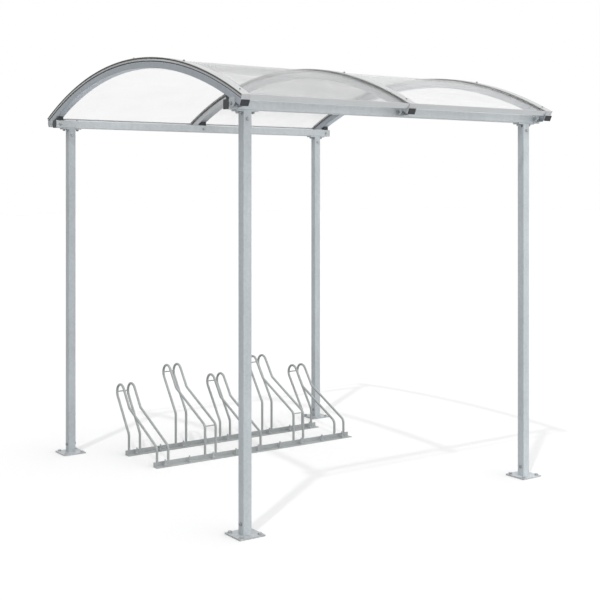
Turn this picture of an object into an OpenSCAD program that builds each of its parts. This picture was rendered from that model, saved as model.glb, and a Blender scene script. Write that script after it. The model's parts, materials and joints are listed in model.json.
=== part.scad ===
// Open bike shelter: four posts, two beams, three arched ribs under a clear vault, and a wheel rack.
// +X runs along the beams, +Y towards the back, +Z up. The origin is on the ground, mid plan.

/* [Posts] */
// Distance between post centres along the beams
post_span_x = 2010; // [1700:10:2600]
// Distance between post centres from front to back
post_span_y = 2150; // [1900:10:2400]
// Outside width of the square post tube
post_size = 50; // [45:1:70]
// Wall of the post tube
post_wall = 3; // [2:0.5:5]
// Outside corner radius of every square tube
tube_corner_r = 4; // [3:0.5:6]
// Diameter of the round vent hole in the left wall of each post
vent_d = 13; // [6:0.5:14]
// Distance of the vent hole's middle below the top of the post
vent_drop = 11; // [9:0.5:24]
// Distance of the vent hole in front of the post's middle
vent_offset = 10; // [0:1:11]

/* [Post feet] */
// Side of the square foot plate
foot_side = 150; // [140:1:200]
// Thickness of the foot plate
foot_t = 8; // [6:1:15]
// Distance between anchor holes along each side of the plate
anchor_span = 110; // [100:1:120]
// Diameter of an anchor hole
anchor_d = 14; // [10:0.5:18]
// Height of the spigot that stands on the plate inside the post
foot_spigot_h = 130; // [90:5:200]

/* [Beams] */
// Outside height and width of the square beam tube
beam_size = 50; // [45:1:60]
// Wall of the beam tube
beam_wall = 3; // [2:0.5:5]
// Height of the underside of the beams above the ground
beam_underside = 2150; // [1900:10:2600]
// Reach of the beam past the post centre, end caps included
beam_overhang = 115; // [100:1:160]
// Length of the head plate under the beam
head_len = 130; // [120:1:180]
// Thickness of the head plate
head_t = 8; // [5:1:12]
// Length of the spigot that hangs from the head plate inside the post
head_spigot_h = 80; // [60:5:140]
// Room between a spigot and the inside of the post
spigot_clear = 0.3; // [0.2:0.1:0.6]
// Wall of a spigot tube
spigot_wall = 4; // [3:0.5:6]

/* [End caps] */
// Thickness of the plastic cap outside the tube end
cap_t = 4; // [3:0.5:8]
// Depth of the plug inside the tube
cap_plug = 18; // [10:1:30]
// Room between the plug and the tube wall
cap_clear = 0.4; // [0.2:0.1:0.8]
// Chamfer round the face of the cap
cap_chamfer = 1.5; // [0.5:0.25:2.5]

/* [Arched ribs] */
// Distance of an end rib's outer face in from the beam end
rib_inset = 10; // [6:1:60]
// Width of the rib tube along the beams
rib_w = 50; // [40:1:60]
// Depth of the rib tube across the arc
rib_depth = 35; // [30:1:50]
// Wall of the rib tube
rib_wall = 3; // [2:0.5:5]
// Radius of the underside of the arch
rib_radius = 2672; // [2400:4:3200]
// Reach of the rib end outside the beam face, measured level at the top of the tube
rib_overhang = 110; // [100:1:160]

/* [Rib shoes] */
// Thickness of the folded shoe that holds a rib end to the beam
shoe_t = 4; // [3:0.5:6]
// Reach of the shoe cheeks out from the beam face
shoe_len = 48; // [40:1:60]
// Height of the shoe cheeks
shoe_h = 48; // [36:1:60]
// Height of the shoe's lower edge above the underside of the beam
shoe_lift = 10; // [4:1:14]
// Height of the shoe's web on the beam face
shoe_web_h = 30; // [20:1:36]
// Room between a cheek and the rib
shoe_clear = 0.4; // [0.2:0.1:0.8]
// Width of the wedge between rib and beam
wedge_w = 36; // [30:1:40]
// Thickness of the thin edge of that wedge, at the outer top edge of the beam
wedge_tip = 4; // [2:0.5:6]

/* [Roof covering] */
// Thickness of the rubber strip under and over the sheet
gasket_t = 6; // [3:0.5:8]
// Width of that strip
gasket_w = 44; // [38:1:50]
// Thickness of the clear sheet
sheet_t = 10; // [6:1:16]
// Thickness of the metal cover strip
cover_t = 4; // [3:0.5:6]
// Width of the cover strip
cover_w = 54; // [50:1:70]
// Bevel along both edges of the cover strip
cover_bevel = 2; // [1:0.5:2.5]
// Gap between the two sheets over the middle rib
sheet_joint = 8; // [4:1:14]
// How far the covering stops short of the rib end, along the arc
cover_setback = 14; // [8:1:24]
// Wall of the eave profile on the low edge of a sheet
eave_t = 2; // [1.5:0.5:3]
// Length of the eave profile's lips on the sheet
eave_lip = 20; // [14:1:30]
// Depth of the eave profile's drip below the sheet
eave_drip = 12; // [8:1:24]
// Height of the eave profile's upstand above the sheet
eave_rise = 8; // [4:0.5:12]
// Room between the end of the eave profile and the cover strip beside it
eave_clear = 0.4; // [0.2:0.1:0.8]

/* [Wheel rack] */
// Distance of the rack's middle from the shelter's middle, along the beams
rack_x = 30; // [-60:5:60]
// Distance of the front rail behind the middle of the plan
rack_y = 420; // [300:10:450]
// Distance between the two rails, centre to centre
rail_span = 390; // [340:5:430]
// Depth of a rail's flat foot from front to back
rail_w = 50; // [40:1:60]
// Height of a rail's upright leg
rail_h = 30; // [20:1:45]
// Thickness of both legs of a rail
rail_t = 4; // [3:0.5:6]
// Reach of a rail past the outermost bar
rail_end = 30; // [20:1:60]
// Diameter of an anchor hole in the rails
rail_hole_d = 13; // [8:0.5:16]
// Distance between wheel holders
holder_pitch = 350; // [300:5:370]
// Distance between the two bent bars of a holder, centre to centre
bar_gap = 80; // [60:1:100]
// Diameter of a bent bar
bar_d = 16; // [12:1:20]
// Gap between the ends of a bar and the ground
bar_lift = 4; // [1:0.5:8]
// Diameter of a cross rod between the two bars of a holder
rod_d = 8; // [6:0.5:10]
// Radius of the bends at the knees, on the bar's centre line
bend_r = 40; // [30:1:60]
// How much fatter the bar is round a bend
bend_swell = 0.2; // [0.2:0.1:0.6]
// Radius of the round top, on the bar's centre line
top_r = 54; // [40:1:60]
// Lean of the legs from upright
leg_lean = 36; // [28:1:42]
// Fall of the front stay from level
stay_fall = 26; // [20:1:30]
// Length of the rear leg from its knee to the round top
rear_leg = 280; // [250:5:320]
// Length of the front leg from the round top to its knee
front_leg = 144; // [120:2:170]
// Height of the rear knee of a low holder above the ground
low_knee = 130; // [120:1:160]
// How much taller the high holders are
high_rise = 98; // [60:1:140]
// How far round its foot bend a high holder's second rod sits, as an angle
foot_rod_turn = 27; // [10:1:40]

/* [Hidden] */
$fn = 48;
eps = 0.01;
steel = [0.72, 0.75, 0.77];
dark_steel = [0.60, 0.62, 0.63];
plastic = [0.16, 0.17, 0.18];
rubber = [0.22, 0.23, 0.23];
alu = [0.80, 0.81, 0.82];
clear = [0.86, 0.89, 0.91, 0.45];

beam_top = beam_underside + beam_size;
beam_half = post_span_x / 2 + beam_overhang;
beam_face = post_span_y / 2 + beam_size / 2;
post_top = beam_underside - head_t;
spigot_side = post_size - 2 * post_wall - 2 * spigot_clear;

// The arch's axis lies so that the rib's underside rests on the thin edges of the wedges
rib_outer = rib_radius + rib_depth;
rib_mid = rib_radius + rib_depth / 2;
axis_z = beam_top + wedge_tip - sqrt(pow(rib_radius, 2) - pow(beam_face, 2));
rib_pitch = beam_half - rib_inset - rib_w / 2;
rib_half = asin((beam_face + rib_overhang) / rib_outer);
cap_half = rib_half - arc_deg(cap_t, rib_mid);

// Radii of the layers that lie on the ribs
sheet_in = rib_outer + gasket_t;
sheet_out = sheet_in + sheet_t;
cover_in = sheet_out + gasket_t;
roof_half = rib_half - arc_deg(cover_setback, rib_outer);

eave_len = rib_pitch - cover_w - 2 * eave_clear;
rail_half = 2 * holder_pitch + bar_gap / 2 + rail_end;
rack_back = rack_y + rail_span;
bend_lap = 2;
lean = [sin(leg_lean), cos(leg_lean)];
across = [cos(leg_lean), -sin(leg_lean)];
foot_turn = 90 - stay_fall;
knee_turn = foot_turn - leg_lean;
foot_cut = bend_r * tan(foot_turn / 2);
knee_cut = bend_r * tan(knee_turn / 2);
rear_cut = bend_r * tan(leg_lean / 2);

// Angle that an arc of a given length takes at a radius
function arc_deg(length, radius) = length / radius * 180 / PI;

// Inside corner radius of a square tube with a given wall
function inner_r(wall) = max(tube_corner_r - wall, 0.5);

// Points of a holder's bar in side view, [back from the front rail, up], for a holder raised by rise
function rear_top(rise) = [rail_span, low_knee + rise] + rear_leg * lean;
function front_knee(rise) = rear_top(rise) - 2 * top_r * across - front_leg * lean;
function stay_foot(rise) = front_knee(rise)[1] - front_knee(rise)[0] * tan(stay_fall);

module rounded_rect(w, h, r) {
    square([w - 2 * r, h], center = true);
    square([w, h - 2 * r], center = true);
    for (x = [-1, 1], y = [-1, 1])
        translate([x * (w / 2 - r), y * (h / 2 - r)]) circle(r);
}

module tube_section(w, h, wall) {
    difference() {
        rounded_rect(w, h, tube_corner_r);
        rounded_rect(w - 2 * wall, h - 2 * wall, inner_r(wall));
    }
}

// Sweeps a section drawn as [radius, x] round the arch's axis, between two angles from the crown
// that grow towards the back
module arch(from, to) {
    translate([0, 0, axis_z])
        rotate([180, 0, 0])
            rotate([0, 90, 0])
                rotate([0, 0, -to])
                    rotate_extrude(angle = to - from, $fn = 360) children();
}

// Stands children at one corner of the plan
module at_post(side_x, side_y) {
    translate([side_x * post_span_x / 2, side_y * post_span_y / 2, 0]) children();
}

// Turns what is made for the front into the front or the back one
module on_side(side_y) {
    mirror([0, side_y > 0 ? 1 : 0, 0]) children();
}

// Repeats children at the three ribs
module at_ribs() {
    for (i = [-1:1]) translate([i * rib_pitch, 0, 0]) children();
}

// Round cutter for the vent hole, along X through the left wall of the post and of the spigot in it
module vent() {
    depth = post_wall + spigot_clear + spigot_wall;
    translate([-post_size / 2 - eps, -vent_offset, post_top - vent_drop])
        rotate([0, 90, 0]) cylinder(d = vent_d, h = depth + 2 * eps);
}

module post() {
    color(steel)
        difference() {
            translate([0, 0, foot_t])
                linear_extrude(post_top - foot_t) tube_section(post_size, post_size, post_wall);
            vent();
        }
}

// Tube that fits inside the post
module spigot(height) {
    linear_extrude(height)
        difference() {
            rounded_rect(spigot_side, spigot_side, inner_r(post_wall));
            square(spigot_side - 2 * spigot_wall, center = true);
        }
}

module foot() {
    color(steel) {
        difference() {
            translate([-foot_side / 2, -foot_side / 2, 0]) cube([foot_side, foot_side, foot_t]);
            for (x = [-1, 1], y = [-1, 1])
                translate([x * anchor_span / 2, y * anchor_span / 2, -eps])
                    cylinder(d = anchor_d, h = foot_t + 2 * eps);
        }
        translate([0, 0, foot_t]) spigot(foot_spigot_h);
    }
}

module head() {
    color(steel) {
        translate([-head_len / 2, -beam_size / 2, post_top]) cube([head_len, beam_size, head_t]);
        difference() {
            translate([0, 0, post_top - head_spigot_h]) spigot(head_spigot_h);
            vent();
        }
    }
}

module beam() {
    color(steel)
        translate([-beam_half + cap_t, -post_span_y / 2, beam_underside + beam_size / 2])
            rotate([90, 0, 90])
                linear_extrude(2 * (beam_half - cap_t)) tube_section(beam_size, beam_size, beam_wall);
}

// Push-in cap for a tube end: its plug reaches down along -Z and its face looks up
module end_cap(w, h, wall) {
    plug_w = w - 2 * wall - 2 * cap_clear;
    plug_h = h - 2 * wall - 2 * cap_clear;
    difference() {
        linear_extrude(cap_t) rounded_rect(w, h, tube_corner_r);
        for (turn = [0, 180]) rotate([0, 0, turn]) {
            translate([w / 2, -h, cap_t - cap_chamfer]) rotate([0, -45, 0]) cube([w, 2 * h, w]);
            translate([-w, h / 2, cap_t - cap_chamfer]) rotate([45, 0, 0]) cube([2 * w, h, h]);
        }
    }
    translate([0, 0, -cap_plug]) linear_extrude(cap_plug) rounded_rect(plug_w, plug_h, inner_r(wall));
}

module beam_caps() {
    color(plastic)
        for (side_x = [-1, 1])
            translate([side_x * (beam_half - cap_t), -post_span_y / 2, beam_underside + beam_size / 2])
                rotate([0, side_x * 90, 0]) end_cap(beam_size, beam_size, beam_wall);
}

module rib() {
    color(steel)
        arch(-cap_half, cap_half)
            translate([rib_mid, 0]) tube_section(rib_depth, rib_w, rib_wall);
}

module rib_caps() {
    color(plastic)
        at_ribs()
            translate([0, 0, axis_z])
                rotate([cap_half, 0, 0])
                    translate([0, 0, rib_mid])
                        rotate([90, 0, 0]) end_cap(rib_w, rib_depth, rib_wall);
}

// Folded shoe: a web on the beam face and a cheek on either side of the rib
module rib_shoes() {
    inside = rib_w + 2 * shoe_clear;
    bottom = beam_underside + shoe_lift;
    color(steel)
        at_ribs() {
            translate([-inside / 2 - shoe_t, -beam_face - shoe_t, bottom])
                cube([inside + 2 * shoe_t, shoe_t, shoe_web_h]);
            for (side_x = [-1, 1])
                translate([side_x * (inside + shoe_t) / 2 - shoe_t / 2, -beam_face - shoe_len, bottom])
                    cheek();
        }
}

// One cheek of a shoe, with its lower outer corner cut off
module cheek() {
    corner = shoe_h / 3;
    rotate([90, 0, 90])
        linear_extrude(shoe_t)
            polygon([[corner, 0], [shoe_len, 0], [shoe_len, shoe_h], [0, shoe_h], [0, corner]]);
}

// Wedge that fills the space between the beam's top and the underside of the rib
module rib_wedges() {
    reach = beam_face - beam_size;
    tall_z = axis_z + sqrt(pow(rib_radius, 2) - pow(reach, 2));
    color(plastic)
        at_ribs()
            translate([-wedge_w / 2, 0, 0])
                rotate([90, 0, 90])
                    linear_extrude(wedge_w)
                        polygon([[-beam_face, beam_top], [-reach, beam_top],
                                 [-reach, tall_z], [-beam_face, beam_top + wedge_tip]]);
}

module layer(inner, outer, low_x, high_x) {
    arch(-roof_half, roof_half)
        translate([inner, low_x]) square([outer - inner, high_x - low_x]);
}

// Clear sheet over one bay, from the outer face of an end rib to the joint over the middle rib
module sheet(side_x) {
    outer_x = rib_pitch + rib_w / 2;
    joint_x = sheet_joint / 2;
    color(clear)
        if (side_x < 0) layer(sheet_in, sheet_out, -outer_x, -joint_x);
        else layer(sheet_in, sheet_out, joint_x, outer_x);
}

// Channel on the low edge of each sheet, with lips over and under it, an upstand and a drip
module eaves() {
    wall_end = roof_half + arc_deg(eave_t, sheet_out);
    lip_start = roof_half - arc_deg(eave_lip, sheet_out);
    color(alu)
        for (side_x = [-1, 1]) translate([side_x * rib_pitch / 2, 0, 0]) {
            eave_part(sheet_out, sheet_out + eave_t, lip_start, wall_end);
            eave_part(sheet_in - eave_t, sheet_in, lip_start, wall_end);
            eave_part(sheet_in - eave_drip, sheet_out + eave_rise, roof_half, wall_end);
        }
}

module eave_part(inner, outer, from, to) {
    arch(-to, -from)
        translate([inner, -eave_len / 2]) square([outer - inner, eave_len]);
}

module under_gasket() {
    color(rubber) layer(rib_outer, sheet_in, -gasket_w / 2, gasket_w / 2);
}

module over_gasket() {
    color(rubber) layer(sheet_out, cover_in, -gasket_w / 2, gasket_w / 2);
}

// Strip with bevelled edges, turned down at both ends over the ends of the sheet and gaskets
module cover_strip() {
    half = cover_w / 2;
    flat_half = half - cover_bevel;
    outer = cover_in + cover_t;
    strip_half = roof_half + arc_deg(cover_t, rib_outer);
    color(alu) {
        arch(-strip_half, strip_half)
            polygon([[cover_in, -half], [outer - cover_bevel, -half], [outer, -flat_half],
                     [outer, flat_half], [outer - cover_bevel, half], [cover_in, half]]);
        for (side_y = [-1, 1]) on_side(side_y)
            arch(-strip_half, -roof_half)
                translate([rib_outer, -flat_half])
                    square([cover_in + cover_t / 2 - rib_outer, 2 * flat_half]);
    }
}

// Angle profile: its upright stands against the bars and its flat foot points to the front, drilled
// in the middle of each holder and midway between the holders
module rail() {
    hole_y = -(bar_d + rail_t + rail_w) / 2;
    color(dark_steel)
        difference() {
            translate([rack_x - rail_half, -bar_d / 2, 0])
                rotate([90, 0, 90])
                    linear_extrude(2 * rail_half) {
                        translate([-rail_w, 0]) square([rail_w, rail_t]);
                        translate([-rail_t, 0]) square([rail_t, rail_h]);
                    }
            for (i = [-4:4])
                translate([rack_x + i * holder_pitch / 2, hole_y, -eps])
                    cylinder(d = rail_hole_d, h = rail_t + 2 * eps);
        }
}

// A bar bent as on a bench: each move is [straight run, turn, radius of the turn]. It is a little
// fatter round a bend, and each straight run reaches a short way into the bends beside it
module bent_bar(moves, d, i = 0) {
    run = moves[i][0];
    turn = moves[i][1];
    r = moves[i][2];
    way = sign(turn);
    lap_in = i > 0 ? bend_lap : 0;
    lap_out = i < len(moves) - 1 ? bend_lap : 0;
    translate([-lap_in, 0, 0]) rotate([0, 90, 0]) cylinder(d = d, h = lap_in + run + lap_out);
    if (i < len(moves) - 1)
        translate([run, way * r, 0]) {
            rotate([0, 0, way > 0 ? -90 : 90 + turn])
                rotate_extrude(angle = abs(turn)) translate([r, 0]) circle(d = d + bend_swell);
            rotate([0, 0, turn]) translate([0, -way * r, 0]) bent_bar(moves, d, i + 1);
        }
}

// A holder's bar, from behind the front rail over the round top to the back rail
module holder_bar(rise) {
    stay = front_knee(rise)[0] / cos(stay_fall);
    moves = [
        [stay_foot(rise) - bar_lift - foot_cut, -foot_turn, bend_r],
        [stay - foot_cut - knee_cut, knee_turn, bend_r],
        [front_leg - knee_cut, -180, top_r],
        [rear_leg - rear_cut, leg_lean, bend_r],
        [low_knee + rise - bar_lift - rear_cut, 0, 0]
    ];
    translate([0, rack_y, bar_lift])
        rotate([90, 0, 90])
            rotate([0, 0, 90]) bent_bar(moves, bar_d);
}

// Rod between the two bars of a holder, at a point in side view
module cross_rod(at) {
    translate([-bar_gap / 2, rack_y + at[0], at[1]])
        rotate([0, 90, 0]) cylinder(d = rod_d, h = bar_gap);
}

// Two bent bars side by side, joined by a rod at the back of their round tops. A high holder has a
// second rod round its foot bend
module wheel_holder(place) {
    high = place % 2 == 0;
    rise = high ? high_rise : 0;
    round_top = rear_top(rise) - top_r * across;
    foot_bend = [bend_r, stay_foot(rise) - foot_cut];
    color(dark_steel)
        translate([rack_x + (place - 3) * holder_pitch, 0, 0]) {
            for (side_x = [-1, 1]) translate([side_x * bar_gap / 2, 0, 0]) holder_bar(rise);
            cross_rod(round_top + [top_r, 0]);
            if (high) cross_rod(foot_bend + bend_r * [-cos(foot_rod_turn), sin(foot_rod_turn)]);
        }
}

at_post(-1, -1) post();  // post_front_left
at_post(1, -1) post();  // post_front_right
at_post(-1, 1) post();  // post_back_left
at_post(1, 1) post();  // post_back_right
at_post(-1, -1) foot();  // foot_front_left
at_post(1, -1) foot();  // foot_front_right
at_post(-1, 1) foot();  // foot_back_left
at_post(1, 1) foot();  // foot_back_right
at_post(-1, -1) head();  // head_front_left
at_post(1, -1) head();  // head_front_right
at_post(-1, 1) head();  // head_back_left
at_post(1, 1) head();  // head_back_right
on_side(-1) beam();  // front_beam
on_side(1) beam();  // back_beam
on_side(-1) beam_caps();  // front_beam_caps
on_side(1) beam_caps();  // back_beam_caps
translate([-rib_pitch, 0, 0]) rib();  // rib_left
rib();  // rib_middle
translate([rib_pitch, 0, 0]) rib();  // rib_right
on_side(-1) rib_caps();  // front_rib_caps
on_side(1) rib_caps();  // back_rib_caps
on_side(-1) rib_shoes();  // front_rib_shoes
on_side(1) rib_shoes();  // back_rib_shoes
on_side(-1) rib_wedges();  // front_rib_wedges
on_side(1) rib_wedges();  // back_rib_wedges
sheet(-1);  // sheet_left
sheet(1);  // sheet_right
on_side(-1) eaves();  // front_eaves
on_side(1) eaves();  // back_eaves
translate([-rib_pitch, 0, 0]) under_gasket();  // under_gasket_left
under_gasket();  // under_gasket_middle
translate([rib_pitch, 0, 0]) under_gasket();  // under_gasket_right
translate([-rib_pitch, 0, 0]) over_gasket();  // over_gasket_left
over_gasket();  // over_gasket_middle
translate([rib_pitch, 0, 0]) over_gasket();  // over_gasket_right
translate([-rib_pitch, 0, 0]) cover_strip();  // cover_strip_left
cover_strip();  // cover_strip_middle
translate([rib_pitch, 0, 0]) cover_strip();  // cover_strip_right
translate([0, rack_y, 0]) rail();  // rack_front_rail
translate([0, rack_back, 0]) rail();  // rack_back_rail
wheel_holder(1);  // wheel_holder_1
wheel_holder(2);  // wheel_holder_2
wheel_holder(3);  // wheel_holder_3
wheel_holder(4);  // wheel_holder_4
wheel_holder(5);  // wheel_holder_5
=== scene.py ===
"""Finishes, fasteners and studio of the bike shelter: a Blender add-on that is run as a script."""

import json
import math
from typing import NamedTuple

import bmesh
import bpy
from bpy.props import FloatProperty, FloatVectorProperty, IntProperty, PointerProperty
from mathutils import Matrix, Vector


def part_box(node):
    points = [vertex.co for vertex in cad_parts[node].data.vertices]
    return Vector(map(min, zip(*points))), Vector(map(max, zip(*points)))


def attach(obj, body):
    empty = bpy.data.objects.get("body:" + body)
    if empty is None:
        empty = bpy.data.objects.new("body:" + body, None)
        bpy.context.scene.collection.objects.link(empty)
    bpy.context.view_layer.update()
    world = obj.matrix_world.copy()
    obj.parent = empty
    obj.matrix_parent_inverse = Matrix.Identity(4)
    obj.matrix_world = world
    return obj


bl_info = {
    "name": "Bike shelter finisher",
    "version": (1, 0, 0),
    "blender": (4, 5, 0),
    "location": "View3D > Sidebar > Shelter",
    "description": "Gives the packed bike shelter its finishes, fasteners, light and camera",
    "category": "Object",
}

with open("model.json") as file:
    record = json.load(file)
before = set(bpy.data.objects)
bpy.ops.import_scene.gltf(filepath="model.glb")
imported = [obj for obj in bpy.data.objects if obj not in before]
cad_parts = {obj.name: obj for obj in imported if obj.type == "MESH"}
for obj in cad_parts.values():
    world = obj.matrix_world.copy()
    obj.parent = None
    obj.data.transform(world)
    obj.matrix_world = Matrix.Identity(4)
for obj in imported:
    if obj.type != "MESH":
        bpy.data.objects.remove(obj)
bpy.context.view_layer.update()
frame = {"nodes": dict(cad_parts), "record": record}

CORNERS = ("front_left", "front_right", "back_left", "back_right")
BAYS = ("left", "middle", "right")
SIDES = ("front", "back")
HOLDERS = tuple(f"wheel_holder_{i}" for i in range(1, 6))
UP = Vector((0, 0, 1))

# Proportions of bolts, in thread diameters
WASHER_T = 0.2
HEAD_WASHER_R, HEAD_ACROSS, HEAD_H = 1.0, 1.65, 0.64
NUT_WASHER_R, NUT_ACROSS, NUT_H = 1.05, 1.6, 0.82
STUD_START, TAIL_RISE = 0.9, 1.2
THREAD_ROOT, THREAD_TIP = 0.43, 0.5
# Shares of its width that a hexagon's crown and a stud's end keep
CROWN_SHARE, END_SHARE = 0.87, 0.82

# Smoothing angle of new pieces, and seed of the first holder's welds
SMOOTH_ANGLE = math.radians(35)
FIRST_SEED = 7

# Parts of a noise's range that are spread over a whole change of tone
WIDE_NOISE = (0.25, 0.75)
CORE_NOISE = (0.3, 0.7)

# Camera back in millimetres, and how far it sees in metres
SENSOR_WIDTH = 36
FAR = 500


class ShelterFinishes(bpy.types.PropertyGroup):
    """Colours and pattern sizes of the shelter's surfaces"""

    frame_zinc: FloatVectorProperty(
        name="Frame zinc", description="Colour of the galvanised posts, heads and shoes",
        subtype="COLOR", size=4, min=0, max=1, default=(0.52, 0.565, 0.59, 1))
    # Painted light: the beams' zinc is paler than the posts' to make up for the shade that the
    # eaves throw on them, and it gets lighter towards the front
    beam_zinc: FloatVectorProperty(
        name="Beam zinc", description="Colour of the fresher zinc on the beams",
        subtype="COLOR", size=4, min=0, max=1, default=(0.60, 0.64, 0.66, 1))
    # Painted light and shade: the outer ribs' zinc is made bright so that their undersides look lit
    # from below, and their sides are darkened as painted shade
    rib_zinc: FloatVectorProperty(
        name="Rib zinc", description="Colour of the zinc on the outer ribs, whose sides are duller",
        subtype="COLOR", size=4, min=0, max=1, default=(0.69, 0.755, 0.825, 1))
    # Painted light: a lighter copy of the ribs' zinc that lifts the middle rib where it lies in
    # shade
    light_rib_zinc: FloatVectorProperty(
        name="Light rib zinc", description="Colour of the brighter zinc on the middle rib",
        subtype="COLOR", size=4, min=0, max=1, default=(0.63, 0.65, 0.665, 1))
    plate_zinc: FloatVectorProperty(
        name="Plate zinc", description="Colour of the mottled zinc on the foot plates",
        subtype="COLOR", size=4, min=0, max=1, default=(0.46, 0.485, 0.50, 1))
    rack_zinc: FloatVectorProperty(
        name="Rack zinc", description="Colour of the duller galvanised rack",
        subtype="COLOR", size=4, min=0, max=1, default=(0.38, 0.40, 0.40, 1))
    bolt_zinc: FloatVectorProperty(
        name="Bolt zinc", description="Colour of the other bolts, nuts and washers",
        subtype="COLOR", size=4, min=0, max=1, default=(0.45, 0.465, 0.48, 1))
    # Painted shade: a darker copy of the bolt zinc for the foot bolts, front shoe bolts and strip
    # screws, standing in for the shade around them
    dark_bolt: FloatVectorProperty(
        name="Dark bolt",
        description="Colour of the dulled foot bolts, front shoe bolts and strip screws",
        subtype="COLOR", size=4, min=0, max=1, default=(0.31, 0.315, 0.32, 1))
    aluminium: FloatVectorProperty(
        name="Eave aluminium", description="Colour of the front eave profiles",
        subtype="COLOR", size=4, min=0, max=1, default=(0.53, 0.545, 0.555, 1))
    # Painted light: a paler, matt copy of the eave aluminium that lights the shaded inner faces of
    # the back eaves
    pale_aluminium: FloatVectorProperty(
        name="Pale aluminium", description="Colour of the cleaner back eave profiles",
        subtype="COLOR", size=4, min=0, max=1, default=(0.84, 0.85, 0.86, 1))
    strip: FloatVectorProperty(
        name="Strip aluminium", description="Colour of the bright cover strips",
        subtype="COLOR", size=4, min=0, max=1, default=(0.57, 0.575, 0.58, 1))
    plastic: FloatVectorProperty(
        name="Black plastic", description="Colour of the end caps and rib wedges",
        subtype="COLOR", size=4, min=0, max=1, default=(0.035, 0.038, 0.042, 1))
    rubber: FloatVectorProperty(
        name="Rubber", description="Colour of the gaskets on the left rib",
        subtype="COLOR", size=4, min=0, max=1, default=(0.035, 0.036, 0.034, 1))
    # Partly dust, partly painted light: this rubber is made pale so that the upper gaskets of the
    # middle and right ribs stay light in their shade
    dusty_rubber: FloatVectorProperty(
        name="Dusty rubber",
        description="Colour of the dustier upper gaskets on the middle and right ribs",
        subtype="COLOR", size=4, min=0, max=1, default=(0.52, 0.52, 0.515, 1))
    # Painted light: a lighter copy of the gasket rubber so that the lower gaskets of the middle and
    # right ribs stay lighter in their shade
    grey_rubber: FloatVectorProperty(
        name="Grey rubber", description="Colour of the lower gaskets on the middle and right ribs",
        subtype="COLOR", size=4, min=0, max=1, default=(0.20, 0.20, 0.198, 1))
    sheet: FloatVectorProperty(
        name="Clear sheet", description="Tint of the veil on the clear right sheet",
        subtype="COLOR", size=4, min=0, max=1, default=(0.63, 0.635, 0.64, 1))
    sheet_veil: FloatProperty(
        name="Sheet veil", description="How much one face of the clear sheet hides at a slant",
        subtype="FACTOR", min=0, max=1, default=0.40)
    dusty: FloatVectorProperty(
        name="Dusty sheet", description="Tint of the veil on the dustier left sheet",
        subtype="COLOR", size=4, min=0, max=1, default=(0.415, 0.42, 0.425, 1))
    dusty_veil: FloatProperty(
        name="Dusty veil", description="How much one face of the dusty sheet hides at a slant",
        subtype="FACTOR", min=0, max=1, default=0.48)
    dusty_front: FloatProperty(
        name="Dusty front",
        description="How much one face of the dusty sheet hides on its front slope",
        subtype="FACTOR", min=0, max=1, default=0.38)
    flute_pitch: FloatProperty(
        name="Flute pitch", description="Distance between the inner webs of a sheet",
        unit="LENGTH", min=0.004, max=0.03, default=0.0105)
    spangle: FloatProperty(
        name="Spangle size", description="Typical width of a zinc crystal",
        unit="LENGTH", min=0.002, max=0.05, default=0.012)


class ShelterFasteners(bpy.types.PropertyGroup):
    """Sizes and places of bolts, nuts, screws and welds"""

    plate_t: FloatProperty(
        name="Foot plate", description="Thickness of the foot plate under the anchor nuts",
        unit="LENGTH", default=0.008)
    anchor_d: FloatProperty(
        name="Anchor diameter", description="Thread of the ground anchors",
        unit="LENGTH", default=0.012)
    rail_t: FloatProperty(
        name="Rail foot", description="Thickness of the rail's flat foot under its anchors",
        unit="LENGTH", default=0.004)
    rail_anchor_rise: FloatProperty(
        name="Rail anchor rise", description="Height of an anchor stud above the rail's foot",
        unit="LENGTH", default=0.042)
    bolt_d: FloatProperty(
        name="Bolt diameter", description="Thread of the frame bolts", unit="LENGTH", default=0.010)
    foot_bolt_z: FloatProperty(
        name="Foot bolt height", description="Height of the bolt through the foot of a post",
        unit="LENGTH", default=0.060)
    head_bolt_z: FloatProperty(
        name="Head bolt height", description="Height of the bolt in the front of a post's top",
        unit="LENGTH", default=2.105)
    head_plate_t: FloatProperty(
        name="Head plate", description="Thickness of the plate between post and beam",
        unit="LENGTH", default=0.008)
    head_bolt_reach: FloatProperty(
        name="Head bolt reach", description="Distance of the beam bolts from the post's middle",
        unit="LENGTH", default=0.047)
    shoe_bolt_out: FloatProperty(
        name="Shoe bolt reach", description="Distance of the shoe bolt outside the beam",
        unit="LENGTH", default=0.020)
    shoe_bolt_z: FloatProperty(
        name="Shoe bolt height", description="Height of the bolt through a shoe",
        unit="LENGTH", default=2.1775)
    web_t: FloatProperty(
        name="Shoe web", description="Thickness of the shoe's web on the beam",
        unit="LENGTH", default=0.004)
    strip_radius: FloatProperty(
        name="Strip radius", description="Radius of the top of a cover strip",
        unit="LENGTH", default=2.686)
    strip_step: FloatProperty(
        name="Screw step", description="Angle between two screws on a cover strip",
        subtype="ANGLE", default=math.radians(12.7))
    strip_screws: IntProperty(
        name="Screws a strip", description="Number of screws on a cover strip", min=1, default=5)
    bar_d: FloatProperty(
        name="Bar", description="Diameter of the rack's bent bars", unit="LENGTH", default=0.016)
    holder_pitch: FloatProperty(
        name="Holder pitch", description="Distance between wheel holders",
        unit="LENGTH", default=0.350)
    weld_r: FloatProperty(
        name="Weld bead", description="Radius of a drop of weld before it is stretched",
        unit="LENGTH", default=0.003)


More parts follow.
